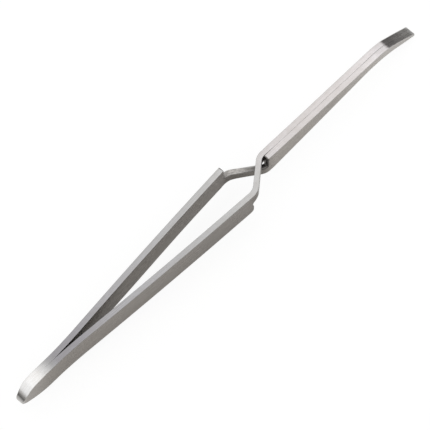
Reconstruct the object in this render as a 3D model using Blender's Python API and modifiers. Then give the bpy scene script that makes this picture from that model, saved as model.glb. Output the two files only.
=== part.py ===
"""Cross-action (reverse-action, self-closing) tweezers with fine bent tips.

Two spring-steel strips are welded together at the heel.  The handles bow
apart, the necks cross through half-width notches, and the jaws lie shut
against each other at rest.  Squeezing the handles opens the jaws.

Frame, metres: +X from heel to tips, +Y towards the left handle, +Z up along
the width of the strips.  The origin is the bottom centre of the whole tool's
box, so the lowest point of the bent tips is at Z = 0.

Design dimensions are millimetres: x from the heel end, y from the plane
between the strips, z from the strips' mid-width.
"""
import bpy
import bmesh
from math import acos, atan2, cos, exp, hypot, log, pi, sin, tan
from mathutils import Matrix, Vector

MM = 0.001                # metres in a millimetre

# ----------------------------------------------------------------------------
# Whole tool
# ----------------------------------------------------------------------------
LENGTH = 165.0            # heel end to tip end
STRIP_T = 1.66            # strip thickness
STRIP_W = 8.9             # strip width along the handles
HALF_W = STRIP_W / 2
SEAM = 0.06               # half of the clearance between the two strips
MID_Z = 7.0               # height of the strips' mid-width above the lowest tip point
EDGE = 0.16               # width of the broken edges
EDGE_ANGLE = 0.9          # radians; sharper corners than this are broken
PLAN_HALF_HEIGHT = 10.0   # plan prisms reach past the side shape
SIDE_HALF_DEPTH = 20.0    # side prisms reach past the plan shape

# ----------------------------------------------------------------------------
# Heel
# ----------------------------------------------------------------------------
HEEL_TAPER_X = 12.0       # the heel narrows to a nose over this length
HEEL_TAPER_STEPS = 9
HEEL_TOP_DROP, HEEL_TOP_POWER = 1.75, 2.6
HEEL_BOTTOM_RISE, HEEL_BOTTOM_POWER = 4.0, 1.9
HEEL_CUT_END = 25.0       # the heel's side shape runs past the flexing line
NOSE_FLAT_TOP = 1.0       # z of the top of the upright end face
NOSE_CHAMFER_X = 0.9      # length of the chamfer above the end face
NOSE_LOW_X, NOSE_LOW_RISE = 0.5, 0.12   # small corner below the end face
NOSE_ROUND = 0.62         # how far the nose narrows towards its end, each side
NOSE_ROUND_X = 2.2        # length of that rounding
NOSE_ROUND_START = 0.35   # angle of its first point past the end face
HEEL_PLAN_START = 15.0    # from here on the heel follows the centre line
WELD_HALF = 0.95          # half width of the weld V at the end face
WELD_CLEAR = 0.10         # gap between weld and strip at the end face
WELD_TIP_X, WELD_TIP_HALF = 5.3, 0.03   # blunt point of the weld V
WELD_BEVEL_X = 6.6        # the strips' inner bevel ends here
FLEX_X = 20.0             # flexing line of each strip
FLEX_GAP = 0.15           # half of the split between heel and arm

# ----------------------------------------------------------------------------
# Handles: slope and bow of the centre line
# ----------------------------------------------------------------------------
BOW_X, BOW_Y = 40.0, 2.55     # the point where slope and bow are given
BOW_SLOPE = 0.077
BOW_CURVE = 0.00023
BOW_BLEND = 0.08              # softness of the start of the bow
FLEX_STATIONS = [20.7, 21.4, 22.2, 23.2, 24.5, 26.5]    # x
HANDLE_START_X, HANDLE_LAST_X, HANDLE_STEPS = 30.0, 82.0, 4

# ----------------------------------------------------------------------------
# Crossing
# ----------------------------------------------------------------------------
HANDLE_END = 91.4             # where the left strip's notch begins
RIGHT_HANDLE_END = HANDLE_END - 0.1
JAW_START = 103.35            # where the notches end
JAW_Y = -(STRIP_T / 2 + SEAM)     # centre line of the left strip's jaw
REAR_BEND = (92.9, 6.0)       # (x, y) corner of the centre line, handle to neck
REAR_BEND_R, REAR_BEND_STEPS = 2.6, 6
FRONT_BEND = (102.1, JAW_Y)   # (x, y) corner of the centre line, neck to jaw
FRONT_BEND_R, FRONT_BEND_STEPS = 4.2, 7
NOTCH_R = 0.9                 # corner radius of the notches
CORNER_STEPS = 4
LEFT_NECK_TOP = -0.15         # left strip passes below
RIGHT_NECK_BOTTOM = 0.65      # right strip passes above
LEFT_HANDLE_CHAMFER = 0.5     # top corner of the left handle's end
LEFT_JAW_CHAMFER = 0.3        # top corner of the left jaw's start
RIGHT_JAW_CHAMFER = 0.4       # bottom corner of the right jaw's start
RIGHT_HANDLE_R = 1.1          # bottom corner of the right handle's end
RIGHT_NOTCH_SET_BACK = 0.55   # the right notch's rear wall leans back this far
RIGHT_NOTCH_LEAN_Z = -2.2     # and is upright below this z

# ----------------------------------------------------------------------------
# Jaws and bent tip: (x, z) points of the edges
# ----------------------------------------------------------------------------
JAW_TOP_Z, JAW_BOTTOM_Z = 4.1, -3.8     # at the jaw's start
JAW_TOP_MID, JAW_TOP_END = (116.0, 3.15), (151.0, 1.42)
JAW_BOTTOM_MID, JAW_BOTTOM_END = (116.0, -3.2), (146.0, -1.45)
TIP_TOP_Z = -6.1
TIP_TOP_STEPS = 8
TIP_TOP_STRAIGHT = 0.72       # share of the top edge's fall that is linear
TIP_BOTTOM_Z = -MID_Z
TIP_BOTTOM_STEPS = 9
TIP_BOTTOM_KNEE = 5           # the bottom edge is straight from this step on
TIP_BOTTOM_POWER = 1.75       # curve of the bottom edge before the knee
TIP_THINNING = 0.10           # each jaw is this much thinner at the tip
THINNING_START = 150.0
JAW_MIDDLE_STATION = 128.0    # extra centre-line station

# Lower edge of the left strip, jaw back to handle, relieved a little in the neck: (x, z)
LEFT_WAIST = [
    (JAW_START + 1.2, JAW_BOTTOM_Z + 0.05), (JAW_START - 0.2, -3.5),
    (101.2, -3.15), (97.5, -3.07), (94.0, -3.18),
    (92.0, -3.6), (90.4, -4.25), (88.8, -HALF_W),
]
ARM_CUT_START = 10.0          # the arms' side shapes start behind the flexing line


# ----------------------------------------------------------------------------
# Plan shape, (x, y), of the left strip; the right one is its mirror in Y
# ----------------------------------------------------------------------------
def steps(start, end, count):
    return [start + (end - start) * k / count for k in range(count + 1)]


def handle_y(x):
    """Centre line of a handle: flat against its twin, then bowing away."""
    flat_y = STRIP_T / 2 + SEAM
    along = x - BOW_X
    bow_y = BOW_Y + BOW_SLOPE * along - BOW_CURVE * along * along
    return flat_y + BOW_BLEND * log(1.0 + exp((bow_y - flat_y) / BOW_BLEND))


def fillet(before, corner, after, radius, count):
    """Points of the arc that rounds the corner between two other points."""
    before, corner, after = Vector(before), Vector(corner), Vector(after)
    back, ahead = (before - corner).normalized(), (after - corner).normalized()
    half_angle = acos(back.dot(ahead)) / 2
    start = corner + back * (radius / tan(half_angle))
    end = corner + ahead * (radius / tan(half_angle))
    centre = corner + (back + ahead).normalized() * (radius / sin(half_angle))
    start_angle = atan2(start.y - centre.y, start.x - centre.x)
    end_angle = atan2(end.y - centre.y, end.x - centre.x)
    turn = (end_angle - start_angle + pi) % (2 * pi) - pi
    return [(centre.x + radius * cos(start_angle + turn * k / count),
             centre.y + radius * sin(start_angle + turn * k / count))
            for k in range(count + 1)]


def half_thickness(x):
    share = max(0.0, (x - THINNING_START) / (LENGTH - THINNING_START))
    return STRIP_T / 2 - TIP_THINNING / 2 * share


def arm_centre():
    """Centre line of the left arm from the flexing line to the tip."""
    stations = [FLEX_X + FLEX_GAP] + FLEX_STATIONS
    stations += steps(HANDLE_START_X, HANDLE_LAST_X, HANDLE_STEPS) + [HANDLE_END - 1.0]
    points = [(x, handle_y(x)) for x in stations]
    points += fillet(points[-1], REAR_BEND, FRONT_BEND, REAR_BEND_R, REAR_BEND_STEPS)
    points += fillet(REAR_BEND, FRONT_BEND, (LENGTH, JAW_Y), FRONT_BEND_R, FRONT_BEND_STEPS)
    # The thinning leaves the meeting faces of the jaws flat.
    points += [(x, JAW_Y + STRIP_T / 2 - half_thickness(x))
               for x in (JAW_MIDDLE_STATION, THINNING_START,
                         (THINNING_START + LENGTH) / 2, LENGTH)]
    return points


def arm_outline():
    """The centre line thickened to both sides."""
    centre = arm_centre()
    left, right = [], []
    for i, (x, y) in enumerate(centre):
        x_before, y_before = centre[max(0, i - 1)]
        x_after, y_after = centre[min(len(centre) - 1, i + 1)]
        run, rise = x_after - x_before, y_after - y_before
        scale = half_thickness(x) / hypot(run, rise)
        left.append((x - rise * scale, y + run * scale))
        right.append((x + rise * scale, y - run * scale))
    return left + right[::-1]


def heel_outline():
    """The left strip's end, bevelled inside for the weld."""
    outer = STRIP_T + SEAM
    nose = [(0.0, outer - NOSE_ROUND)]
    nose += [(NOSE_ROUND_X * (1 - cos(angle)), outer - NOSE_ROUND * (1 - sin(angle)))
             for angle in steps(NOSE_ROUND_START, pi / 2, 5)]
    stations = [HEEL_PLAN_START, 18.0, 19.0, FLEX_X - FLEX_GAP]
    outside = [(x, handle_y(x) + STRIP_T / 2) for x in stations]
    inside = [(x, handle_y(x) - STRIP_T / 2) for x in stations[::-1]]
    return nose + outside + inside + [(WELD_BEVEL_X, SEAM), (0.0, WELD_HALF + WELD_CLEAR)]


def weld_outline():
    """V of weld metal that joins the two strip ends."""
    return [(0.0, -WELD_HALF), (WELD_TIP_X, -WELD_TIP_HALF),
            (WELD_TIP_X, WELD_TIP_HALF), (0.0, WELD_HALF)]


# ----------------------------------------------------------------------------
# Side shape, (x, z)
# ----------------------------------------------------------------------------
def heel_top(x):
    return HALF_W - HEEL_TOP_DROP * (1 - x / HEEL_TAPER_X) ** HEEL_TOP_POWER


def heel_bottom(x):
    return -HALF_W + HEEL_BOTTOM_RISE * (1 - x / HEEL_TAPER_X) ** HEEL_BOTTOM_POWER


def heel_profile():
    stations = steps(0.0, HEEL_TAPER_X, HEEL_TAPER_STEPS)[1:]
    top = [(0.0, NOSE_FLAT_TOP)]
    top += [(x, heel_top(x)) for x in [NOSE_CHAMFER_X] + stations]
    bottom = [(x, heel_bottom(x)) for x in stations[::-1] + [NOSE_LOW_X]]
    bottom += [(0.0, heel_bottom(0.0) + NOSE_LOW_RISE)]
    return top + [(HEEL_CUT_END, HALF_W), (HEEL_CUT_END, -HALF_W)] + bottom


def quarter_round(x, z, radius_x, radius_z):
    """Rounded corner from (x, z + radius_z) to (x + radius_x, z); radii are signed."""
    return [(x + radius_x * (1 - cos(angle)), z + radius_z * (1 - sin(angle)))
            for angle in steps(0.0, pi / 2, CORNER_STEPS)]


def tip_edge(start, end_z, falls):
    """Points evenly spaced in x whose z follows the given shares of the fall."""
    x, z = start
    return [(station, z + (end_z - z) * fall)
            for station, fall in zip(steps(x, LENGTH, len(falls) - 1), falls)]


def tip_top():
    falls = [TIP_TOP_STRAIGHT * share + (1 - TIP_TOP_STRAIGHT) * share ** 2
             for share in steps(0.0, 1.0, TIP_TOP_STEPS)]
    return tip_edge(JAW_TOP_END, TIP_TOP_Z, falls)


def tip_bottom():
    curve = [(k / TIP_BOTTOM_STEPS) ** TIP_BOTTOM_POWER for k in range(TIP_BOTTOM_KNEE + 1)]
    straight = steps(curve[-1], 1.0, TIP_BOTTOM_STEPS - TIP_BOTTOM_KNEE)
    return tip_edge(JAW_BOTTOM_END, TIP_BOTTOM_Z, curve + straight[1:])


def left_profile():
    """Left strip: the notch takes its upper half, so its neck passes below."""
    chamfer = LEFT_HANDLE_CHAMFER
    top = [(ARM_CUT_START, HALF_W), (HANDLE_END - chamfer, HALF_W),
           (HANDLE_END, HALF_W - chamfer)]
    top += quarter_round(HANDLE_END, LEFT_NECK_TOP, NOTCH_R, NOTCH_R)
    top += quarter_round(JAW_START, LEFT_NECK_TOP, -NOTCH_R, NOTCH_R)[::-1]
    top += [(JAW_START, JAW_TOP_Z - LEFT_JAW_CHAMFER),
            (JAW_START + LEFT_JAW_CHAMFER, JAW_TOP_Z), JAW_TOP_MID]
    bottom = tip_bottom()[::-1] + [JAW_BOTTOM_MID] + LEFT_WAIST
    return top + tip_top() + bottom + [(ARM_CUT_START, -HALF_W)]


def right_profile():
    """Right strip: the notch takes its lower half, so its neck passes above."""
    top = [(ARM_CUT_START, HALF_W), (RIGHT_HANDLE_END, HALF_W),
           (JAW_START, JAW_TOP_Z), JAW_TOP_MID]
    bottom = tip_bottom()[::-1]
    bottom += [JAW_BOTTOM_MID, (JAW_START + RIGHT_JAW_CHAMFER, JAW_BOTTOM_Z),
               (JAW_START, JAW_BOTTOM_Z + RIGHT_JAW_CHAMFER)]
    bottom += quarter_round(JAW_START, RIGHT_NECK_BOTTOM, -NOTCH_R, -NOTCH_R)
    bottom += quarter_round(RIGHT_HANDLE_END - RIGHT_NOTCH_SET_BACK, RIGHT_NECK_BOTTOM,
                            NOTCH_R, -NOTCH_R)[::-1]
    bottom += [(RIGHT_HANDLE_END, RIGHT_NOTCH_LEAN_Z)]
    bottom += quarter_round(RIGHT_HANDLE_END, -HALF_W, -RIGHT_HANDLE_R, RIGHT_HANDLE_R)
    return top + tip_top() + bottom + [(ARM_CUT_START, -HALF_W)]


# ----------------------------------------------------------------------------
# Building: design millimetres become metres in the frame here
# ----------------------------------------------------------------------------
def frame_x(x):
    return (x - LENGTH / 2) * MM


def frame_z(z):
    return (z + MID_Z) * MM


def new_collection(name):
    coll = bpy.data.collections.new(name)
    bpy.context.scene.collection.children.link(coll)
    return coll


def metal(name, colour, roughness):
    material = bpy.data.materials.new(name)
    material.use_nodes = True
    shader = material.node_tree.nodes["Principled BSDF"]
    shader.inputs["Base Color"].default_value = colour
    shader.inputs["Metallic"].default_value = 1.0
    shader.inputs["Roughness"].default_value = roughness
    material.diffuse_color = colour
    return material


def outline_solid(name, points, half_depth):
    """A filled 2D outline extruded both ways, as a closed mesh."""
    curve = bpy.data.curves.new(name + "_outline", "CURVE")
    curve.dimensions = "2D"
    curve.fill_mode = "BOTH"
    curve.extrude = half_depth
    spline = curve.splines.new("POLY")
    spline.points.add(len(points) - 1)
    for point, (across, up) in zip(spline.points, points):
        point.co = (across, up, 0.0, 1.0)
    spline.use_cyclic_u = True
    ob = bpy.data.objects.new(name + "_outline", curve)
    bpy.context.scene.collection.objects.link(ob)
    bpy.context.view_layer.update()
    depsgraph = bpy.context.evaluated_depsgraph_get()
    mesh = bpy.data.meshes.new_from_object(ob.evaluated_get(depsgraph))
    bpy.data.objects.remove(ob, do_unlink=True)
    bpy.data.curves.remove(curve)

    # The caps and walls come out of the curve unjoined.
    bm = bmesh.new()
    bm.from_mesh(mesh)
    bmesh.ops.remove_doubles(bm, verts=bm.verts, dist=1e-7)
    bmesh.ops.recalc_face_normals(bm, faces=bm.faces)
    bm.to_mesh(mesh)
    bm.free()
    mesh.name = name
    return mesh


def side_cutter(name, profile, coll):
    """Hidden prism of a side shape, running across the tool along Y."""
    points = [(frame_x(x), frame_z(z)) for x, z in profile]
    mesh = outline_solid(name, points, SIDE_HALF_DEPTH * MM)
    mesh.transform(Matrix.Rotation(pi / 2, 4, "X"))
    ob = bpy.data.objects.new(name, mesh)
    coll.objects.link(ob)
    ob.hide_render = True
    ob.display_type = "WIRE"
    return ob


def piece(name, outline, cutter, material, coll, side=1, axis=None):
    """Plan prism kept inside the side shape, edges broken; side -1 mirrors it in Y."""
    points = [(frame_x(x), side * y * MM) for x, y in outline]
    mesh = outline_solid(name, points, PLAN_HALF_HEIGHT * MM)
    mesh.transform(Matrix.Translation((0.0, 0.0, MID_Z * MM)))
    mesh.materials.append(material)
    ob = bpy.data.objects.new(name, mesh)
    coll.objects.link(ob)
    if axis is not None:
        mesh.transform(Matrix.Translation(-axis.location))
        ob.parent = axis
    trim = ob.modifiers.new("side_shape", "BOOLEAN")
    trim.operation = "INTERSECT"
    trim.solver = "EXACT"
    trim.object = cutter
    bevel = ob.modifiers.new("broken_edges", "BEVEL")
    bevel.width = EDGE * MM
    bevel.segments = 1
    bevel.limit_method = "ANGLE"
    bevel.angle_limit = EDGE_ANGLE
    bevel.use_clamp_overlap = True


def flex_axis(name, side, coll):
    """Empty on a strip's flexing line, the origin its arm turns about."""
    empty = bpy.data.objects.new(name, None)
    empty.empty_display_size = 0.006
    empty.location = (frame_x(FLEX_X), side * handle_y(FLEX_X) * MM, frame_z(0.0))
    coll.objects.link(empty)
    return empty


def build():
    for ob in list(bpy.data.objects):
        bpy.data.objects.remove(ob, do_unlink=True)
    tool = new_collection("cross_action_tweezers")
    cutters = new_collection("cutters")

    strip = metal("brushed_spring_steel", colour=(0.50, 0.49, 0.475, 1.0), roughness=0.36)
    weld = metal("ground_weld_metal", colour=(0.62, 0.61, 0.60, 1.0), roughness=0.28)

    heel_cut = side_cutter("cut_heel_side", heel_profile(), cutters)
    piece("heel_weld", weld_outline(), heel_cut, weld, tool)
    for hand, side, profile in (("left", 1, left_profile()), ("right", -1, right_profile())):
        arm_cut = side_cutter(f"cut_{hand}_side", profile, cutters)
        axis = flex_axis(f"{hand}_flexing_line", side, tool)
        piece(f"{hand}_strip_heel", heel_outline(), heel_cut, strip, tool, side)
        piece(f"{hand}_arm", arm_outline(), arm_cut, strip, tool, side, axis)


build()
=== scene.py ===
"""Cross-action tweezers: two bent strips fused at the heel, in brushed steel, on a studio floor.

The tool lies along X, centred on the origin, with its heel at -X and its tips at +X. The
strips stand on edge: thickness along Y, width along Z. The left strip's handle is on the +Y
side and the strips swap sides at the crossing.

Outlines are in mm: x forward from the end of the heel, z up from the strips' mid height.
A strip is shaped unbent, in u (along x), z and n (across its thickness), and then bent.
"""

from math import acos, atan2, cos, exp, log, pi, radians, sin, sqrt, tan
from types import SimpleNamespace

import bmesh
import bpy
import numpy as np
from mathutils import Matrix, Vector
from mathutils.geometry import delaunay_2d_cdt


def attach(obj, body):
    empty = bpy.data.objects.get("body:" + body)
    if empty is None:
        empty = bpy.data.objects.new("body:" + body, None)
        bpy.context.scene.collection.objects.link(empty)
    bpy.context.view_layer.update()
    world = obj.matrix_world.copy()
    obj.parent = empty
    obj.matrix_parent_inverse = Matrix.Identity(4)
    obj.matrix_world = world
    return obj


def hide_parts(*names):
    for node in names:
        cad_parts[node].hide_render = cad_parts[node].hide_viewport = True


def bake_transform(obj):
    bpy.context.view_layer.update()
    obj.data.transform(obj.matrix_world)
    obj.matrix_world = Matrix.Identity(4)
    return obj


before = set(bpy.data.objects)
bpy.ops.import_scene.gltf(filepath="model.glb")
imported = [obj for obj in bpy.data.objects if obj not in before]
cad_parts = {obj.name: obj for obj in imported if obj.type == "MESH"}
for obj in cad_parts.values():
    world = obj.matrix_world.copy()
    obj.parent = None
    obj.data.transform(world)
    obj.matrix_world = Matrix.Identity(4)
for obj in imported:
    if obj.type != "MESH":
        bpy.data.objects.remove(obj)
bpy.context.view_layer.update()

MM = 0.001
LENGTH = 165.0
STRIP_T = 1.66
STRIP_W = 8.9
HALF_W = STRIP_W / 2
SEAM = 0.06               # half the gap between strips that lie together
LIE_Y = STRIP_T / 2 + SEAM          # centre line's distance from Y = 0 where they lie together
MID_Z = 7.0               # mid height of the strips above the floor
HEEL_TAPER_X = 12.0       # the heel narrows from here to its end
FUSED_X = 11.0            # forward of this the seam between the strips begins
HANDLE_END = 91.4
JAW_START = 103.35
CROSSING_X = 99.25        # where the partner changes from one face to the other
FACET_X = 153.95          # the tips' upper side is ground to a separate facet from here on
OUTER_SWELL = 0.08        # extra thickness on the outside of the handles and heel
OUTER_EDGE_R = 0.24       # worn radius of the outer edges
REAR_BEND_R, FRONT_BEND_R, BEND_SEGMENTS = 5.0, 4.2, 24
# corner of the rear bend (x, y) and x of the corner of the front bend, laid out as for the left
BENDS = {"left": ((92.9, 6.0), 102.1), "right": ((92.62, 6.0), 101.78)}
EDGE_ROWS = 5             # rows of points around each rounded edge

collection = bpy.data.collections.new("tweezers_visual")
bpy.context.scene.collection.children.link(collection)


def frame_point(x, y, z):
    """Tool coordinates in mm to the frame's metres."""
    return (x - LENGTH / 2) * MM, y * MM, (z + MID_Z) * MM


def smoothstep(start, end, x):
    t = np.clip((np.asarray(x, float) - start) / (end - start), 0, 1)
    return t * t * (3 - 2 * t)


def arc_lengths(points):
    return np.r_[0.0, np.cumsum(np.linalg.norm(np.diff(points, axis=0), axis=1))]


# ------------------------------------------------------------------ plan shape
def handle_y(x):
    """Centre line of a handle: together near the heel, then easing into a shallow parabola."""
    softness = 0.08
    ahead = x - 40.0
    opening = (2.55 + 0.077 * ahead - 0.00023 * ahead * ahead - LIE_Y) / softness
    eased = opening if opening > 30 else log(1.0 + exp(max(opening, -60.0)))
    return LIE_Y + softness * eased + 0.09 * exp(-((x - 19.8) / 3.4) ** 2)


def fillet(before, corner, after, radius, segments):
    """Points of the arc that rounds a corner."""
    before, corner, after = Vector(before), Vector(corner), Vector(after)
    back, ahead = (before - corner).normalized(), (after - corner).normalized()
    angle = acos(max(-1.0, min(1.0, back.dot(ahead))))
    start = corner + back * (radius / tan(angle / 2))
    end = corner + ahead * (radius / tan(angle / 2))
    centre = corner + (back + ahead).normalized() * (radius / sin(angle / 2))
    first = atan2(start.y - centre.y, start.x - centre.x)
    last = atan2(end.y - centre.y, end.x - centre.x)
    turn = (last - first + pi) % (2 * pi) - pi
    return [(centre.x + radius * cos(first + turn * k / segments),
             centre.y + radius * sin(first + turn * k / segments)) for k in range(segments + 1)]


def half_thickness(x):
    return STRIP_T / 2 - 0.05 * max(0.0, min(1.0, (x - 150.0) / 15.0))


def centre_line(rear, front_x):
    """Dense centre line of a strip, laid out as for the left one."""
    jaw_y = -LIE_Y
    front = (front_x, jaw_y)
    handle = (HANDLE_END - 1.0, handle_y(HANDLE_END - 1.0))
    rear_arc = fillet(handle, rear, front, REAR_BEND_R, BEND_SEGMENTS)
    points = [(x, handle_y(x)) for x in np.arange(0.0, rear_arc[0][0] - 0.1, 0.25)] + rear_arc
    points += fillet(rear, front, (LENGTH, jaw_y), FRONT_BEND_R, BEND_SEGMENTS)
    points += [(x, jaw_y) for x in np.arange(104.5, 150.0, 1.0)]
    points += [(x, jaw_y + STRIP_T / 2 - half_thickness(x))
               for x in np.arange(150.0, LENGTH + 2.0, 1.0)]
    points = np.array(points)
    points = points[np.r_[True, np.diff(points[:, 0]) > 1e-6]]
    along = np.gradient(points, axis=0)
    along /= np.linalg.norm(along, axis=1)[:, None]
    return SimpleNamespace(x=points[:, 0], y=points[:, 1], normal_x=-along[:, 1],
                           normal_y=along[:, 0], length=arc_lengths(points))


CENTRES = {side: centre_line(*bends) for side, bends in BENDS.items()}


def bend(u, n, line):
    """Strip coordinates u and n to plan x, y, as for the left strip."""
    x, y, normal_x, normal_y = (np.interp(u, line.x, values) for values in
                                (line.x, line.y, line.normal_x, line.normal_y))
    size = np.hypot(normal_x, normal_y)
    return x + normal_x / size * n, y + normal_y / size * n


# ------------------------------------------------------------------ side outlines
def heel_top(x):
    return HALF_W - 1.75 * max(0.0, 1 - x / HEEL_TAPER_X) ** 2.6


def heel_bottom(x):
    return -HALF_W + 4.0 * max(0.0, 1 - x / HEEL_TAPER_X) ** 1.9


# Outlines are x, z, corner radius; they run forward along the bottom and back along the top.
JAW_OUTLINE = [
    (116.0, -3.2, 90.0), (146.2, -1.45, 30.0), (151.0, -1.95, 14.0), (155.2, -3.0, 30.0),
    (160.3, -5.2, 30.0), (165.0, -6.98, 0.22), (165.0, -5.97, 0.30), (159.5, -2.53, 60.0),
    (FACET_X, 0.53, 2.6), (150.4, 1.47, 9.0), (116.0, 3.15, 90.0)]


def strip_outline(lower, upper):
    """A strip's whole outline around its own lower and upper edges between heel and jaw."""
    rear_low = [(FUSED_X, heel_bottom(FUSED_X), 0), (12.2, -HALF_W, 0)]
    rear_high = [(12.2, HALF_W, 0), (FUSED_X, heel_top(FUSED_X), 0)]
    return rear_low + lower + JAW_OUTLINE + upper + rear_high


def left_outline():
    """The left strip, notched from above at the crossing."""
    floor_z = -0.15
    lower = [(90.4, -HALF_W, 10.0), (92.8, -4.12, 4.0), (95.2, -3.42, 5.0), (97.8, -3.3, 20.0),
             (101.0, -3.38, 5.0), (103.0, -3.68, 3.0), (105.0, -3.78, 6.0)]
    upper = [(JAW_START - 0.6, 4.13, 0.3), (JAW_START - 0.36, floor_z - 0.27, 0.7),
             (101.5, floor_z - 0.18, 4.0), (99.6, floor_z - 0.06, 6.0),
             (94.2, floor_z - 0.12, 4.0), (92.6, floor_z - 0.45, 1.5),
             (HANDLE_END + 0.3, floor_z - 0.5, 0.4), (HANDLE_END, floor_z + 0.1, 0.3),
             (HANDLE_END, HALF_W, 0.32)]
    return strip_outline(lower, upper)


def right_outline():
    """The right strip, notched from below at the crossing."""
    roof_z = 0.65
    end = HANDLE_END - 0.1
    lower = [(end, -HALF_W, 1.15), (end, -1.7, 0.8), (end - 0.4, -0.6, 0.6),
             (end - 0.1, roof_z - 0.2, 0.5), (end + 1.1, roof_z, 1.0),
             (99.5, roof_z + 0.04, 8.0), (101.2, roof_z + 0.16, 3.0),
             (102.4, roof_z + 0.32, 1.0), (JAW_START + 0.1, roof_z + 0.31, 0.4),
             (JAW_START + 0.2, -0.8, 1.5), (JAW_START + 0.9, -3.78, 0.5)]
    return strip_outline(lower, [(103.0, 4.08, 25.0), (end, HALF_W, 60.0)])


def step_at(u):
    """Spacing of points along the strip: fine in the bends, coarser where it is straight."""
    if 91.0 < u < 105.0:
        return 0.22
    if u < 26.0 or u > 148.0:
        return 0.5
    return 1.4


def round_corners(outline):
    """Open path with its corners rounded, each radius cut down to fit its straights."""
    path = [outline[0][:2]]
    for before, corner, after in zip(outline, outline[1:], outline[2:]):
        x, z, radius = corner
        back = Vector(before[:2]) - Vector((x, z))
        ahead = Vector(after[:2]) - Vector((x, z))
        angle = acos(max(-1.0, min(1.0, back.normalized().dot(ahead.normalized()))))
        if radius <= 0 or abs(pi - angle) < 1e-3:
            path.append((x, z))
            continue
        radius = min(radius, 0.46 * min(back.length, ahead.length) * tan(angle / 2))
        segments = max(3, int((pi - angle) / 0.16))
        path += fillet(before[:2], (x, z), after[:2], radius, segments)
    path.append(outline[-1][:2])
    return path


def divide_straights(corners):
    path = [corners[0]]
    for end in corners[1:]:
        start = path[-1]
        distance = sqrt((end[0] - start[0]) ** 2 + (end[1] - start[1]) ** 2)
        count = int(distance / step_at((start[0] + end[0]) / 2))
        for k in range(1, count + 1):
            path.append((start[0] + (end[0] - start[0]) * k / (count + 1),
                         start[1] + (end[1] - start[1]) * k / (count + 1)))
        if distance > 1e-4:
            path.append(end)
    return np.array(path)


# ------------------------------------------------------------------ strip rim
def edge_radius(u, partner, neck):
    """Radius of the broken edge: crisp where the two strips meet, worn outside."""
    if partner:
        radius = 0.03 + 0.09 * smoothstep(FUSED_X + 1, 18.0, u)
    else:
        radius = np.full_like(u, OUTER_EDGE_R)
    in_neck = smoothstep(91.9, 94.0, u) * (1 - smoothstep(100.5, 103.2, u))
    radius = radius + (neck - radius) * in_neck
    if partner:
        return np.where(u > 103.2, 0.04, radius)
    radius = radius + (0.19 - radius) * smoothstep(150.0, 154.0, u)
    return radius + (0.15 - radius) * smoothstep(160.5, 164.6, u)


def strip_section(side, u, top_run):
    """n of both flat faces and both edge radii, at each point of the path.

    The low face meets the partner on the handles, the high face on the jaws.
    """
    left = side == "left"
    half = np.array([half_thickness(x) for x in u])
    fused = 1 - smoothstep(15.0, 19.0, u)
    low = -half - (SEAM - 0.004) * fused - 0.05 * smoothstep(102.0, 106.0, u)
    jaw_extra = (0.046 * smoothstep(103.5, 109.5, u)
                 - 0.021 * smoothstep(141.0, 146.0, u) * (1 - smoothstep(152.5, 154.5, u))
                 + 0.012 * smoothstep(153, 157, u))
    swell = OUTER_SWELL + (0.045 if left else 0.0) * smoothstep(14.0, 24.0, u)
    high = half + jaw_extra + swell * (1 - smoothstep(93.0, 98.0, u))

    neck_low = 0.34 if left else 0.15
    neck_high = 0.12 + 0.2 * smoothstep(101.0, 102.4, u) if left else 0.15
    handle = u < CROSSING_X
    low_r = np.where(handle, edge_radius(u, True, neck_low), edge_radius(u, False, neck_low))
    high_r = np.where(handle, edge_radius(u, False, neck_high), edge_radius(u, True, neck_high))
    if left:
        # the notch's outer edge is filed back in front of the crossing
        filed = smoothstep(101.0, 101.8, u) * top_run
        low_r = low_r + 0.24 * filed * (1 - smoothstep(102.7, 102.98, u))
    return SimpleNamespace(low=low, high=high, low_r=low_r, high_r=high_r)


def rim_rows(path, section):
    """Rows of (u, z, n) from the low face over the rim to the high face."""
    # the path starts forward along the bottom and ends backward along the top
    segments = np.diff(path, axis=0)
    segments /= np.linalg.norm(segments, axis=1)[:, None]
    along = np.empty_like(path)
    along[1:-1] = segments[1:] + segments[:-1]
    along[0], along[-1] = (1.0, 0.0), (-1.0, 0.0)
    along /= np.linalg.norm(along, axis=1)[:, None]
    inward = np.stack([-along[:, 1], along[:, 0]], 1)
    low, high, low_r, high_r = section.low, section.high, section.low_r, section.high_r

    def row(inset, n):
        return np.column_stack([path + inward * inset[:, None], n])

    u = path[:, 0]
    crown = 0.035 * smoothstep(FUSED_X + 0.5, 17.0, u) * (1 - smoothstep(158, 164, u))
    angles = [pi / 2 * k / (EDGE_ROWS - 1) for k in range(EDGE_ROWS)]
    rows = [row(low_r * (1 - sin(a)), low + low_r * (1 - cos(a))) for a in angles]
    rows.append(row(-crown, (low + low_r + high - high_r) / 2))
    rows += [row(high_r * (1 - sin(a)), high - high_r * (1 - cos(a))) for a in angles[::-1]]
    return rows


# ------------------------------------------------------------------ strip flat faces
def inside(polygon, points, margin):
    """True for points inside the polygon and further than margin from its edge."""
    x, y = points[:, 0], points[:, 1]
    within = np.zeros(len(points), bool)
    near = np.zeros(len(points), bool)
    for (x1, y1), (x2, y2) in zip(polygon, np.roll(polygon, -1, axis=0)):
        if y1 != y2:
            within ^= ((y1 > y) != (y2 > y)) & (x < (x2 - x1) * (y - y1) / (y2 - y1) + x1)
        length_squared = (x2 - x1) ** 2 + (y2 - y1) ** 2 + 1e-12
        t = np.clip(((x - x1) * (x2 - x1) + (y - y1) * (y2 - y1)) / length_squared, 0, 1)
        near |= np.hypot(x - (x1 + t * (x2 - x1)), y - (y1 + t * (y2 - y1))) < margin
    return within & ~near


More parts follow.
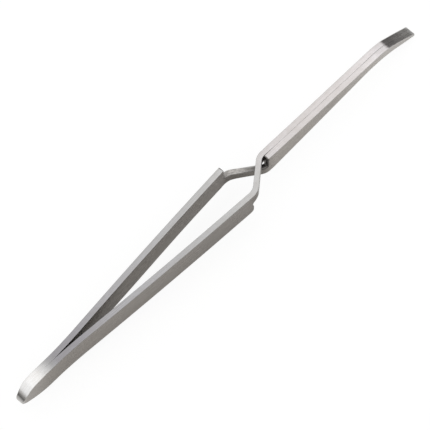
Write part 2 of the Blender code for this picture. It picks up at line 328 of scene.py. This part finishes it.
def grid_points():
    """Staggered points over the strip's side, at the path's spacing."""
    grid = []
    u = FUSED_X + 0.6
    while u < LENGTH - 0.6:
        step = step_at(u)
        stagger = 0.17 * (int(u / step) % 2)
        grid += [(u, z + stagger) for z in np.arange(-8.0, 5.0, max(0.45, step))]
        u += step
    return grid


def fill_flat(points, boundary, u, face_n):
    """Triangles inside a boundary of point indices; new points are added to the list."""
    loop = [Vector(points[j][:2]) for j in boundary]
    grid = grid_points()
    keep = inside(np.array([tuple(p) for p in loop]), np.array(grid), margin=0.16)
    sites = loop + [Vector(p) for p, kept in zip(grid, keep) if kept]
    found, _, triangles, origins, _, sources = delaunay_2d_cdt(
        sites, [], [list(range(len(loop)))], 1, 1e-7, True)
    order = np.argsort(u)
    index = []
    for place, origin in zip(found, origins):
        if origin and origin[0] < len(loop):
            index.append(boundary[origin[0]])
        else:
            index.append(len(points))
            n = float(np.interp(place[0], u[order], face_n[order]))
            points.append((place[0], place[1], n))
    return [tuple(index[j] for j in triangle)
            for triangle, source in zip(triangles, sources) if source]


# ------------------------------------------------------------------ strip mesh
def set_attribute(mesh, name, domain, values):
    attribute = mesh.attributes.new(name, "FLOAT", domain)
    attribute.data.foreach_set("value", np.asarray(values, np.float32))


def strip_wear_and_glint(side, path, top_run, total):
    """Wear of each point: strongest on the rounded edges, none within the flat faces."""
    edge = (0.15, 0.6, 1.0, 0.7, 0.15)
    count = len(path)
    u = path[:, 0]
    wear = np.zeros(total)
    for r, value in enumerate(edge + (0.15,) + edge[::-1]):
        row = wear[r * count:(r + 1) * count]
        row[:] = value
        # painted glints along the left neck's near and far edges
        if side == "left" and abs(r - EDGE_ROWS) > 1.5:
            row[top_run & (u > 92.6) & (u < 100.6)] += 0.8 if r < EDGE_ROWS else 1.6
            row[top_run & (u > 100.9) & (u < 102.95)] = 0.1
    return wear


def strip_uvs(mesh, kinds, points, arc, line):
    """UVs in mm: u along the strip or its rim, with each side in its own band of v."""
    along = np.interp(points[:, 0], line.x, line.length)
    uv = mesh.uv_layers.new(name="UVMap")
    for polygon, kind in zip(mesh.polygons, kinds):
        for corner in polygon.loop_indices:
            v = mesh.loops[corner].vertex_index
            if kind in ("rim", "facet", "notch"):
                uv.data[corner].uv = (arc[v % len(arc)], 40.0 + points[v, 2])
            elif kind == "low":
                uv.data[corner].uv = (along[v], 20.0 + points[v, 1])
            else:
                uv.data[corner].uv = (along[v], points[v, 1])


def rim_faces(side, path, top_run, row_count):
    """Quads between the rim's rows, and what kind each is."""
    u = path[:, 0]
    count = len(path)
    facet = (u > FACET_X - 1.3) & top_run
    notch = (u > HANDLE_END - 0.6) & (u < JAW_START + 0.4)
    notch &= top_run if side == "left" else ~top_run
    faces, kinds = [], []
    for r in range(row_count - 1):
        for i in range(count - 1):
            a, b = r * count + i, (r + 1) * count + i
            faces.append((a, a + 1, b + 1, b))
            if facet[i] and facet[i + 1] and r >= EDGE_ROWS - 1:
                kinds.append("facet")
            else:
                kinds.append("notch" if notch[i] and notch[i + 1] else "rim")
    return faces, kinds


def strip_mesh(side, outline):
    """One strip from the fused heel to its tip, as a closed mesh."""
    path = divide_straights(round_corners(outline))
    arc = arc_lengths(path)
    u = path[:, 0]
    top_run = arc > arc[int(np.argmax(u))]
    section = strip_section(side, u, top_run)
    rows = rim_rows(path, section)
    points = list(np.concatenate(rows))
    count, row_count = len(path), len(rows)
    faces, kinds = rim_faces(side, path, top_run, row_count)

    # points down the joint with the heel, on both flat faces
    bottom, top = path[0][1] + section.low_r[0], path[-1][1] - section.low_r[0]
    joints = []
    for face_n in (section.low, section.high):
        joints.append(list(range(len(points), len(points) + 8)))
        points += [(FUSED_X, top + (bottom - top) * k / 9, face_n[0]) for k in range(1, 9)]

    for kind, row, joint, face_n in (("low", 0, joints[0], section.low),
                                     ("high", row_count - 1, joints[1], section.high)):
        boundary = list(range(row * count, (row + 1) * count)) + joint
        triangles = fill_flat(points, boundary, u, face_n)
        faces += triangles if kind == "high" else [t[::-1] for t in triangles]
        kinds += [kind] * len(triangles)

    # cap where the strip grows out of the fused heel
    starts = [r * count for r in range(row_count)]
    ends = [start + count - 1 for start in starts]
    faces.append(tuple(starts + joints[1][::-1] + ends[::-1] + joints[0]))
    kinds.append("cap")

    points = np.array(points)
    x, y = bend(points[:, 0], points[:, 2], CENTRES[side])
    if side == "left":
        # this strip leans in slightly along its lower edge
        lean = smoothstep(16.0, 38.0, points[:, 0]) * (1 - smoothstep(46.0, 78.0, points[:, 0]))
        y = y - 0.26 * lean * np.clip(0.5 - points[:, 1] / STRIP_W, 0, 1)
    else:
        y = -y
        faces = [face[::-1] for face in faces]
    places = np.stack(frame_point(x, y, points[:, 1]), 1)
    mesh = bpy.data.meshes.new(side + "_strip")
    mesh.from_pydata([tuple(place) for place in places], [], faces)
    mesh.update()
    strip_uvs(mesh, kinds, points, arc, CENTRES[side])
    set_attribute(mesh, "wear", "POINT", strip_wear_and_glint(side, path, top_run, len(points)))
    set_attribute(mesh, "station", "POINT", points[:, 0])
    for label, kind in (("facet", "facet"), ("notch", "notch"), ("inner", "low")):
        set_attribute(mesh, label, "FACE", [float(k == kind) for k in kinds])
    return finish_mesh(mesh)


def sharpen_edges(mesh):
    """Keep the hidden joint of heel and strips, and the start of the ground facet, sharp."""
    station = np.empty(len(mesh.vertices), np.float32)
    mesh.attributes["station"].data.foreach_get("value", station)
    facet = np.zeros(len(mesh.polygons), np.float32)
    if "facet" in mesh.attributes:
        mesh.attributes["facet"].data.foreach_get("value", facet)
    users = {}
    for polygon in mesh.polygons:
        for key in polygon.edge_keys:
            users.setdefault(key, []).append(polygon.index)
    for edge in mesh.edges:
        key = tuple(sorted(edge.vertices))
        around = users.get(key, [])
        at_joint = all(abs(station[v] - FUSED_X) < 1e-3 for v in key)
        at_facet = all(abs(station[v] - FACET_X) < 0.02 for v in key)
        borders = len(around) == 2 and facet[around[0]] != facet[around[1]]
        if at_joint or (borders and at_facet):
            edge.use_edge_sharp = True


def finish_mesh(mesh):
    """Turn the faces outward, shade them and put the mesh in the scene."""
    shape = bmesh.new()
    shape.from_mesh(mesh)
    bmesh.ops.recalc_face_normals(shape, faces=shape.faces)
    if shape.calc_volume(signed=True) < 0:
        bmesh.ops.reverse_faces(shape, faces=shape.faces)
    shape.to_mesh(mesh)
    shape.free()
    mesh.shade_smooth()
    sharpen_edges(mesh)
    piece = bpy.data.objects.new(mesh.name, mesh)
    collection.objects.link(piece)
    weighted = piece.modifiers.new("weighted", "WEIGHTED_NORMAL")
    weighted.mode = "FACE_AREA"
    weighted.weight = 80
    weighted.keep_sharp = True
    return piece


# ------------------------------------------------------------------ fused heel
# x, z of the heel's upper edge, from its end forward
NOSE_TOP = [
    (0.0, -0.2), (0.08, 0.05), (0.23, 0.28), (0.7, 0.96), (1.15, 1.62), (1.7, 2.35), (2.2, 2.88),
    (2.8, 3.34), (3.5, 3.70), (4.5, 4.02), (6.0, 4.27), (8.0, 4.40), (10.0, 4.44), (12.0, 4.45)]
# x of the rings over the nose, where they are no longer evenly spaced
NOSE_STATIONS = [3.1, 2.8, 2.5, 2.2, 1.95, 1.7, 1.42, 1.25, 1.15, 1.05, 0.9, 0.7, 0.5, 0.33,
                 0.23, 0.15, 0.08, 0.03, 0.0]


def quarter_drop(x, reach, drop):
    """Elliptical fall from nothing at x = reach to drop at the end of the heel."""
    return drop * (1 - sqrt(max(0.0, 1 - (max(0.0, reach - x) / reach) ** 2)))


def heel_ring(x):
    """Rounded rectangle around the heel at x, from the left side over the top."""
    outer = STRIP_T + SEAM + OUTER_SWELL
    inset = quarter_drop(x, reach=0.16, drop=0.16)
    left = outer - 0.55 * max(0.0, 1 - x / 4.2) ** 1.2 - quarter_drop(x, 0.45, 0.35) - inset
    right = outer - quarter_drop(x, reach=2.2, drop=0.50) - inset
    top = float(np.interp(x, *np.array(NOSE_TOP).T)) if x < 9.9 else heel_top(x)
    bottom = heel_bottom(x) - 0.45 * exp(-x / 1.6) + inset
    radius = min(OUTER_EDGE_R, (top - bottom) * 0.3)
    y_left, y_right = left - radius, -right + radius
    z_high, z_low = top - radius, bottom + radius
    # centre of each rounded corner, and the straight that follows it
    sides = (((y_left, z_high), (y_left, top), (y_right, top)),
             ((y_right, z_high), (-right, z_high), (-right, z_low)),
             ((y_right, z_low), (y_right, bottom), (y_left, bottom)),
             ((y_left, z_low), (left, z_low), (left, z_high)))
    ring = []
    for i, (centre, start, end) in enumerate(sides):
        for k in range(EDGE_ROWS):
            angle = radians(90 * i + 90 * k / (EDGE_ROWS - 1))
            ring.append((x, centre[0] + radius * cos(angle), centre[1] + radius * sin(angle)))
        for share in (0.2, 0.4, 0.6, 0.8):
            ring.append((x, start[0] + (end[0] - start[0]) * share,
                         start[1] + (end[1] - start[1]) * share))
    return ring


def heel_mesh():
    """The two strip ends and the weld between them, ground to one smooth nose."""
    rings = [heel_ring(x) for x in list(np.linspace(FUSED_X, 3.5, 14)) + NOSE_STATIONS]
    count = len(rings[0])
    # the end face closes through a smaller ring within it
    centre_z = sum(z for _, _, z in rings[-1]) / count
    rings.append([(0.0, y * 0.55, centre_z + (z - centre_z) * 0.55) for _, y, z in rings[-1]])
    points = [point for ring in rings for point in ring]
    faces = []
    for start in range(0, len(points) - count, count):
        for j in range(count):
            a, b = start + j, start + (j + 1) % count
            faces.append((a, b, b + count, a + count))
    faces.append(tuple(range(len(points) - count, len(points))))
    faces.append(tuple(range(count)))
    mesh = bpy.data.meshes.new("heel_fused")
    mesh.from_pydata([frame_point(*point) for point in points], [], faces)
    mesh.update()
    uv = mesh.uv_layers.new(name="UVMap")
    for polygon in mesh.polygons:
        normal = polygon.normal
        for corner in polygon.loop_indices:
            x, y, z = points[mesh.loops[corner].vertex_index]
            if abs(normal.y) > 0.7:
                uv.data[corner].uv = (x, z + (0.0 if normal.y > 0 else 20.0))
            elif abs(normal.x) > 0.8:
                uv.data[corner].uv = (y + 60.0, z)
            else:
                uv.data[corner].uv = (x, 40.0 + y)
    set_attribute(mesh, "wear", "POINT", np.full(len(points), 0.2))
    set_attribute(mesh, "station", "POINT", [x for x, _, _ in points])
    return finish_mesh(mesh)


# ------------------------------------------------------------------ shader nodes
class Net:
    """Short calls that add nodes to an emptied node tree."""

    def __init__(self, tree):
        self.tree = tree
        tree.nodes.clear()

    def node(self, kind, inputs=None, **settings):
        """Add a node; inputs maps socket names or numbers to values or output sockets."""
        node = self.tree.nodes.new(kind)
        for key, value in settings.items():
            setattr(node, key, value)
        for key, value in (inputs or {}).items():
            if isinstance(value, bpy.types.NodeSocket):
                self.tree.links.new(value, node.inputs[key])
            else:
                node.inputs[key].default_value = value
        return node

    def math(self, operation, a, b):
        return self.node("ShaderNodeMath", {0: a, 1: b}, operation=operation).outputs[0]

    def add(self, a, b):
        return self.math("ADD", a, b)

    def times(self, a, b):
        return self.math("MULTIPLY", a, b)

    def axes(self, vector):
        return self.node("ShaderNodeSeparateXYZ", {0: vector}).outputs

    def noise(self, coords, scale, offset, detail, roughness):
        mapping = self.node("ShaderNodeMapping",
                            {"Vector": coords, "Scale": scale, "Location": offset})
        return self.node("ShaderNodeTexNoise", {
            "Vector": mapping.outputs["Vector"], "Scale": 1.0,
            "Detail": detail, "Roughness": roughness}).outputs["Fac"]

    def remap(self, value, source, result=(0.0, 1.0), smooth=False):
        return self.node("ShaderNodeMapRange", {
            "Value": value, "From Min": source[0], "From Max": source[1],
            "To Min": result[0], "To Max": result[1]},
            interpolation_type="SMOOTHSTEP" if smooth else "LINEAR").outputs["Result"]

    def tone_ramp(self, fac, tones):
        """Colours along the tool, from a table of stations and tones."""
        node = self.node("ShaderNodeValToRGB", {"Fac": fac})
        elements = node.color_ramp.elements
        while len(elements) < len(tones):
            elements.new(0.5)
        for element, (x, *values) in zip(elements, tones):
            element.position = x / LENGTH
            element.color = tone(*values)
        return node.outputs["Color"]

    def mix(self, factor, a, b, blend_type="MIX"):
        return self.node("ShaderNodeMix", {"Factor": factor, "A": a, "B": b},
                         data_type="RGBA", blend_type=blend_type).outputs["Result"]

    def multiply(self, a, b):
        return self.mix(1.0, a, b, "MULTIPLY")

    def shade(self, factor, colour, by):
        """Multiply the colour where the factor says so."""
        return self.mix(factor, colour, self.multiply(colour, by))

    def grey(self, value):
        return self.node("ShaderNodeCombineColor", {
            "Red": value, "Green": value, "Blue": value}).outputs["Color"]

    def bump(self, height, **inputs):
        return self.node("ShaderNodeBump", {"Height": height, **inputs}).outputs["Normal"]


def tone(value, red=1.0, green=1.0, blue=1.0):
    return (min(value * red, 1.0), min(value * green, 1.0), min(value * blue, 1.0), 1.0)


# ------------------------------------------------------------------ steel
# Tone tables: station in mm, tone, then its red, green and blue factors where it isn't neutral.
# the side tones hold painted shade at the bends by the crossing (92.5 to 101.5 mm) and a painted
# reflection on the end of the heel
SIDE_TONES = [  # rolled side faces
    (0.0, 0.98), (0.4, 0.88), (1.2, 0.70, 1.03, 1, 0.97), (6.0, 0.67, 1.04, 1, 0.955),
    (11.0, 0.55, 1.05, 1, 0.945), (19.0, 0.513, 1.055, 1, 0.945), (30.0, 0.528, 1.055, 1, 0.945),
    (57.0, 0.512, 1.05, 1, 0.95), (72.0, 0.485, 1.05, 1, 0.955), (88.5, 0.482, 1.05, 1, 0.955),
    (92.5, 0.32, 1.06, 1, 0.94), (101.5, 0.34, 1.06, 1, 0.94), (103.4, 0.55, 1.05, 1, 0.95),
    (105.5, 0.69, 1.045, 1, 0.955), (118.0, 0.70, 1.045, 1, 0.955), (130.0, 0.69, 1.04, 1, 0.96),
    (138.0, 0.78, 1.03, 1, 0.97), (148.0, 0.86, 1.03, 1, 0.97), (153.0, 0.93, 1.02, 1, 0.98),
    (165.0, 0.95, 1.01, 1, 0.985)]
# in the top tones the dark band from 0.32 to 1.10 mm is painted shade on the heel's nose
# chamfer, and the bright start a painted reflection on its end rim
TOP_TONES = [  # ground upper edges
    (0.0, 0.95), (0.18, 0.90), (0.32, 0.115, 1.03, 1, 0.95), (1.10, 0.13, 1.03, 1, 0.95),
    (1.26, 0.42, 1.02, 1, 0.97), (1.42, 0.67), (1.75, 0.85), (2.4, 0.94), (3.2, 0.98),
    (7.5, 0.90, 1.01, 1, 0.99), (10.5, 0.62), (12.8, 0.40, 1.0, 0.995, 1.01),
    (15.0, 0.335, 1.005, 0.98, 1.035), (24.0, 0.345, 1.005, 0.98, 1.04),
    (38.0, 0.43, 0.995, 0.985, 1.02), (52.0, 0.475, 0.99, 0.985, 1.01),
    (67.0, 0.505, 0.995, 0.99, 1.0), (82.0, 0.545, 0.995, 0.995, 0.99),
    (97.0, 0.62, 1.0, 0.99, 0.98), (107.0, 0.73, 1.03, 0.985, 0.985),
    (116.0, 0.70, 1.035, 0.985, 0.975), (135.0, 0.735, 1.03, 0.98, 0.97),
    (146.0, 0.81, 1.03, 0.985, 0.985), (152.0, 0.835, 1.01, 0.97, 0.98), (165.0, 0.80)]
# the tips' ground facet: its own darker ground tone, deepened by painted shade
FACET_TONES = [
    (153.9, 0.22, 1.05, 0.98, 0.98), (156.5, 0.20, 1.04, 1, 0.98), (159.0, 0.30, 1.03, 1, 0.98),
    (162.0, 0.455, 1.02, 1, 0.98), (163.6, 0.435, 1.01, 1, 0.97), (164.4, 0.70), (165.0, 1.0)]
# painted shade: the handles' inner faces are darker towards the closed end of the V
INNER_SHADE_TONES = [(20.0, 0.44), (32.0, 0.62), (38.0, 0.71), (46.0, 0.93), (60.0, 0.98), (80.0, 1.0)]
# punched notches' warm tone, with painted shade: darkest at the rear end wall and towards the
# crossing, under the other strip
NOTCH_TONES = [
    (91.4, 0.20, 1.05, 1, 0.95), (92.5, 0.22, 1.05, 1, 0.95), (93.2, 0.34, 1.05, 1, 0.95),
    (94.2, 0.42, 1.04, 1, 0.95), (96.2, 0.45, 1.04, 1, 0.95), (96.6, 0.37, 1.05, 1, 0.95),
    (97.4, 0.33, 1.05, 1, 0.95), (98.1, 0.20, 1.06, 1, 0.94), (99.5, 0.17, 1.06, 1, 0.94),
    (103.0, 0.16, 1.05, 1, 0.95)]
# lighter tone for the notch's less shaded far half
FAR_HALF_LIT_TONE = tone(0.40, 1.03, 1, 0.97)
WORN_GLINT_TONE = (0.74, 0.735, 0.73, 1)
WHITE = (1.0, 1.0, 1.0, 1)

# Noise patterns: coordinates, scale, offset as (seed factor, x, y), detail and roughness
PATTERNS = {
    "fine": ("uv", (0.045, 7.5, 1), (3, 0, 0), 4.0, 0.62),
    "hair": ("uv", (0.22, 26.0, 1), (0, 7, 0), 2.0, 0.5),
    "cloud": ("object", (90, 150, 150), (0, 0, 0), 3.0, 0.55),
    "blot": ("uv", (0.55, 0.9, 1), (0, 3, 0), 4.0, 0.6),
    "grain": ("uv", (1.6, 2.6, 1), (0, 11, 0), 5.0, 0.7),
    "mottle": ("uv", (0.9, 1.5, 1), (0, 5, 2), 4.0, 0.65),
    "facet_start": ("uv", (0.5, 2.2, 1), (0, 0, 4), 3.0, 0.6),
}


def steel_sources(net, seed):
    """Coordinates, mesh attributes and noise patterns that the steel is made from."""
    coords = {"uv": net.node("ShaderNodeUVMap", uv_map="UVMap").outputs["UV"],
              "object": net.node("ShaderNodeTexCoord").outputs["Object"]}
    sources = SimpleNamespace(**coords)
    for name in ("wear", "station", "facet", "notch", "inner"):
        node = net.node("ShaderNodeAttribute", attribute_name=name)
        setattr(sources, name, node.outputs["Fac"])
    for name, (space, scale, (factor, x, y), detail, roughness) in PATTERNS.items():
        setattr(sources, name, net.noise(coords[space], scale, (seed + x, seed * factor + y, 0),
                                         detail, roughness))
    # the facet starts along a slightly ragged line
    ragged = net.remap(sources.facet_start, source=(0.3, 0.7), result=(-0.22, 0.22))
    begins = net.remap(net.add(sources.station, ragged),
                       source=(FACET_X - 0.95, FACET_X + 0.6), smooth=True)
    sources.facet = net.times(sources.facet, begins)
    return sources


def ground_tone(net, src, along):
    """Tone along the tool: rolled sides, ground upper edges and the tips' facet."""
    sides = net.tone_ramp(along, SIDE_TONES)
    # painted shade on the handles' inner faces, deepest towards the closed end of the V
    sides = net.shade(src.inner, sides, by=net.tone_ramp(along, INNER_SHADE_TONES))
    # at the very end of the heel the top's tones, with their painted shade, run aslant: mm of
    # shift per metre of Y
    slant = -85.0
    near_end = net.remap(src.station, source=(1.5, 3.5), result=(1.0, 0.0))
    shift = net.times(net.times(net.axes(src.object)["Y"], slant), near_end)
    shifted = net.math("DIVIDE", net.add(src.station, shift), LENGTH)
    normal = net.node("ShaderNodeNewGeometry").outputs["Normal"]
    faces_up = net.remap(net.axes(normal)["Z"], source=(0.32, 0.52), smooth=True)
    colour = net.mix(faces_up, sides, net.tone_ramp(shifted, TOP_TONES))
    return net.mix(src.facet, colour, net.tone_ramp(along, FACET_TONES))


def notch_tone(net, src, along):
    """Mottled dark steel of the punched notches, brighter where it is rubbed."""
    dark_mottle = net.grey(net.remap(src.mottle, source=(0.34, 0.66), result=(0.62, 1.45)))
    punched = net.multiply(net.tone_ramp(along, NOTCH_TONES), dark_mottle)
    # painted shade: near the crossing only the near half stays dark, the far half is painted
    # lighter
    far_half_lit = net.times(net.remap(net.axes(src.uv)["Y"], source=(40.10, 40.62), smooth=True),
                       net.remap(src.station, source=(96.6, 98.0), smooth=True))
    pale_mottle = net.grey(net.remap(src.mottle, source=(0.34, 0.66), result=(0.75, 1.25)))
    return net.mix(far_half_lit, punched, net.multiply(FAR_HALF_LIT_TONE, pale_mottle))


def steel_colour(net, src):
    along = net.math("DIVIDE", src.station, LENGTH)
    colour = ground_tone(net, src, along)
    colour = net.mix(net.remap(src.fine, source=(0.3, 0.7)),
                     net.multiply(colour, (0.90, 0.90, 0.895, 1)),
                     net.multiply(colour, (1.09, 1.085, 1.09, 1)))
    colour = net.shade(net.remap(src.blot, source=(0.35, 0.72), result=(0.0, 0.9)), colour,
                       by=(0.90, 0.885, 0.865, 1))
    colour = net.shade(net.remap(src.grain, source=(0.35, 0.7)), colour,
                       by=(0.95, 0.95, 0.95, 1))
    colour = net.mix(src.notch, colour, notch_tone(net, src, along))
    # edges lightened towards a pale tone by wear and painted highlight
    wear_glint_strength = 0.22
    colour = net.mix(net.times(src.wear, wear_glint_strength), colour, WORN_GLINT_TONE)
    # painted shade: the notches and the faces beside the crossing are darkened where ambient
    # occlusion finds them enclosed
    occlusion = net.node("ShaderNodeAmbientOcclusion", {"Distance": 0.0022}, samples=6)
    notch_shade = net.remap(occlusion.outputs["AO"], source=(0.25, 0.8), result=(0.22, 1.0),
                      smooth=True)
    beside = net.times(
        net.remap(src.station, source=(99.0, 101.0), smooth=True),
        net.remap(src.station, source=(103.2, 104.4), result=(1.0, 0.0), smooth=True))
    colour = net.shade(net.math("MAXIMUM", src.notch, beside), colour, by=net.grey(notch_shade))
    # painted sheen: the colour is lifted to white where the steel is seen edge-on
    facing = net.node("ShaderNodeLayerWeight", {"Blend": 0.5}).outputs["Facing"]
    return net.mix(net.remap(facing, source=(0.80, 0.93), smooth=True), colour, WHITE)


def steel_roughness(net, src):
    roughness = net.add(net.remap(src.cloud, source=(0.3, 0.7), result=(0.26, 0.33)),
                        net.remap(src.fine, source=(0.3, 0.7), result=(-0.03, 0.04)))
    heel = net.remap(src.station, source=(8.0, 14.0), result=(1.0, 0.0), smooth=True)
    # how much each part is smoother or rougher than the rest
    for operation, part, amount in (("SUBTRACT", src.wear, 0.04), ("SUBTRACT", heel, 0.06),
                                    ("ADD", src.notch, 0.10), ("SUBTRACT", src.facet, 0.04)):
        roughness = net.math(operation, roughness, net.times(part, amount))
    return roughness


def steel_normal(net, src):
    """Fine brushing, with coarser pitting that is strong only in the notches."""
    brushing = net.add(net.times(src.fine, 0.6), net.times(src.hair, 0.4))
    brushed = net.bump(brushing, Strength=0.10, Distance=0.00008)
    pitting = net.add(net.times(src.blot, 0.6), net.times(src.grain, 0.4))
    pit_strength = net.add(net.times(src.notch, 0.9), 0.10)
    return net.bump(pitting, Strength=pit_strength, Distance=0.00012, Normal=brushed)


def new_material(name):
    material = bpy.data.materials.new(name)
    material.use_nodes = True
    return material, Net(material.node_tree)


def steel_material(name, seed):
    """Stainless steel, satin ground along its length."""
    material, net = new_material(name)
    src = steel_sources(net, seed)
    tangent = net.node("ShaderNodeTangent", direction_type="UV_MAP", uv_map="UVMap")
    steel = net.node("ShaderNodeBsdfPrincipled", {
        "Base Color": steel_colour(net, src), "Metallic": 1.0,
        "Roughness": steel_roughness(net, src), "Anisotropic": 0.45,
        "Tangent": tangent.outputs["Tangent"], "Normal": steel_normal(net, src)})
    net.node("ShaderNodeOutputMaterial", {"Surface": steel.outputs["BSDF"]})
    return material


# ------------------------------------------------------------------ stage looks
def floor_material():
    """Pale floor: the camera sees it nearly white, the steel sees it as a dimmer sweep."""
    material, net = new_material("studio_floor")
    camera_ray = net.node("ShaderNodeLightPath").outputs["Is Camera Ray"]

    def blend(factor, first, second):
        return net.node("ShaderNodeMixShader", {
            "Fac": factor, 1: first.outputs[0], 2: second.outputs[0]})

    pale = net.node("ShaderNodeBsdfDiffuse", {"Color": (0.90, 0.90, 0.895, 1)})
    glow = net.node("ShaderNodeEmission", {"Color": WHITE, "Strength": 1.05})
    dim = net.node("ShaderNodeBsdfDiffuse", {"Color": (0.60, 0.59, 0.575, 1)})
    glow_share = 0.84
    surface = blend(camera_ray, dim, blend(glow_share, pale, glow))
    # seen from below the floor lets the tool show through
    backfacing = net.node("ShaderNodeNewGeometry").outputs["Backfacing"]
    clear = net.node("ShaderNodeBsdfTransparent")
    surface = blend(net.times(camera_ray, backfacing), surface, clear)
    net.node("ShaderNodeOutputMaterial", {"Surface": surface.outputs[0]})
    return material


def studio_world():
    """A soft dome: bright overhead, dark at the horizon so that steep facets go dark."""
    dome_strength = 0.92
    dome_dark = (0.10, 0.098, 0.095, 1)
    # how much a direction counts as higher towards +X, towards -X and beyond far_y in +Y
    lift_x, lift_rear, lift_far, far_y = 0.10, 0.50, 0.40, 0.30
    world = bpy.data.worlds.new("studio")
    bpy.context.scene.world = world
    world.use_nodes = True
    net = Net(world.node_tree)
    sky = net.axes(net.node("ShaderNodeTexCoord").outputs["Generated"])
    height = net.add(sky["Z"], net.times(sky["X"], lift_x))
    rearward = net.math("MAXIMUM", net.times(sky["X"], -1.0), 0.0)
    height = net.add(height, net.times(rearward, lift_rear))
    far = net.math("MAXIMUM", net.math("SUBTRACT", sky["Y"], far_y), 0.0)
    height = net.add(height, net.times(far, lift_far))
    bright = net.remap(height, source=(0.26, 0.40), smooth=True)
    camera_ray = net.node("ShaderNodeLightPath").outputs["Is Camera Ray"]
    background = net.node("ShaderNodeBackground", {
        "Color": net.mix(camera_ray, net.mix(bright, dome_dark, WHITE), WHITE),
        "Strength": net.remap(camera_ray, source=(0.0, 1.0), result=(dome_strength, 1.0))})
    net.node("ShaderNodeOutputWorld", {"Surface": background.outputs[0]})


# ------------------------------------------------------------------ pieces
heel = heel_mesh()
heel.data.materials.append(steel_material("ground_heel", seed=9.1))
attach(heel, "heel")
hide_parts("heel_weld", "left_strip_heel", "right_strip_heel")

for side, outline, seed in (("left", left_outline(), 1.7), ("right", right_outline(), 5.3)):
    arm = strip_mesh(side, outline)
    arm.data.materials.append(steel_material("brushed_steel_" + side, seed))
    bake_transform(arm)
    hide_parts(side + "_arm")

# ------------------------------------------------------------------ stage
bpy.ops.mesh.primitive_plane_add(size=6.0, location=(0, 0, -0.0002))
floor = bpy.context.object
floor.name = "floor"
floor.data.materials.append(floor_material())


def overhead_light():
    """Square soft light above the tool, aimed at its middle."""
    place = Vector((0.06, 0.10, 0.60))
    aim = Vector((0, 0, 0.007))
    light = bpy.data.lights.new("overhead", "AREA")
    light.shape = "RECTANGLE"
    light.size = light.size_y = 0.60
    light.energy = 0.16
    light.color = (1.0, 0.995, 0.985)
    lamp = bpy.data.objects.new("overhead", light)
    lamp.location = place
    lamp.rotation_euler = (aim - place).to_track_quat("-Z", "Y").to_euler()
    lamp.visible_camera = False
    bpy.context.scene.collection.objects.link(lamp)


overhead_light()
studio_world()
bpy.context.scene.view_settings.view_transform = "Standard"


# ------------------------------------------------------------------ camera
def add_camera():
    """A very long lens, looking down from the +Y side... of the tool's heel."""
    turn, elevation = radians(-47.6), radians(62.3)
    view_width = 122.22854 * MM
    # the tool sits a little right of and above the middle of the view
    shift_right, shift_up = 0.2274 * MM, 1.64866 * MM
    camera = bpy.data.cameras.new("camera")
    camera.sensor_width = 36.0
    camera.lens = 1650.0
    camera.clip_start, camera.clip_end = 0.05, 30.0
    holder = bpy.data.objects.new("camera", camera)
    bpy.context.scene.collection.objects.link(holder)
    back = Vector((sin(turn) * cos(elevation), -cos(turn) * cos(elevation), sin(elevation)))
    right = Vector((cos(turn), sin(turn), 0.0))
    up = back.cross(right)
    centre = Vector((0, 0, MID_Z * MM)) - right * shift_right - up * shift_up
    holder.location = centre + back * (view_width * camera.lens / camera.sensor_width)
    holder.rotation_mode = "QUATERNION"
    holder.rotation_quaternion = back.to_track_quat("Z", "Y")
    bpy.context.scene.camera = holder


add_camera.__doc__ = None
add_camera()
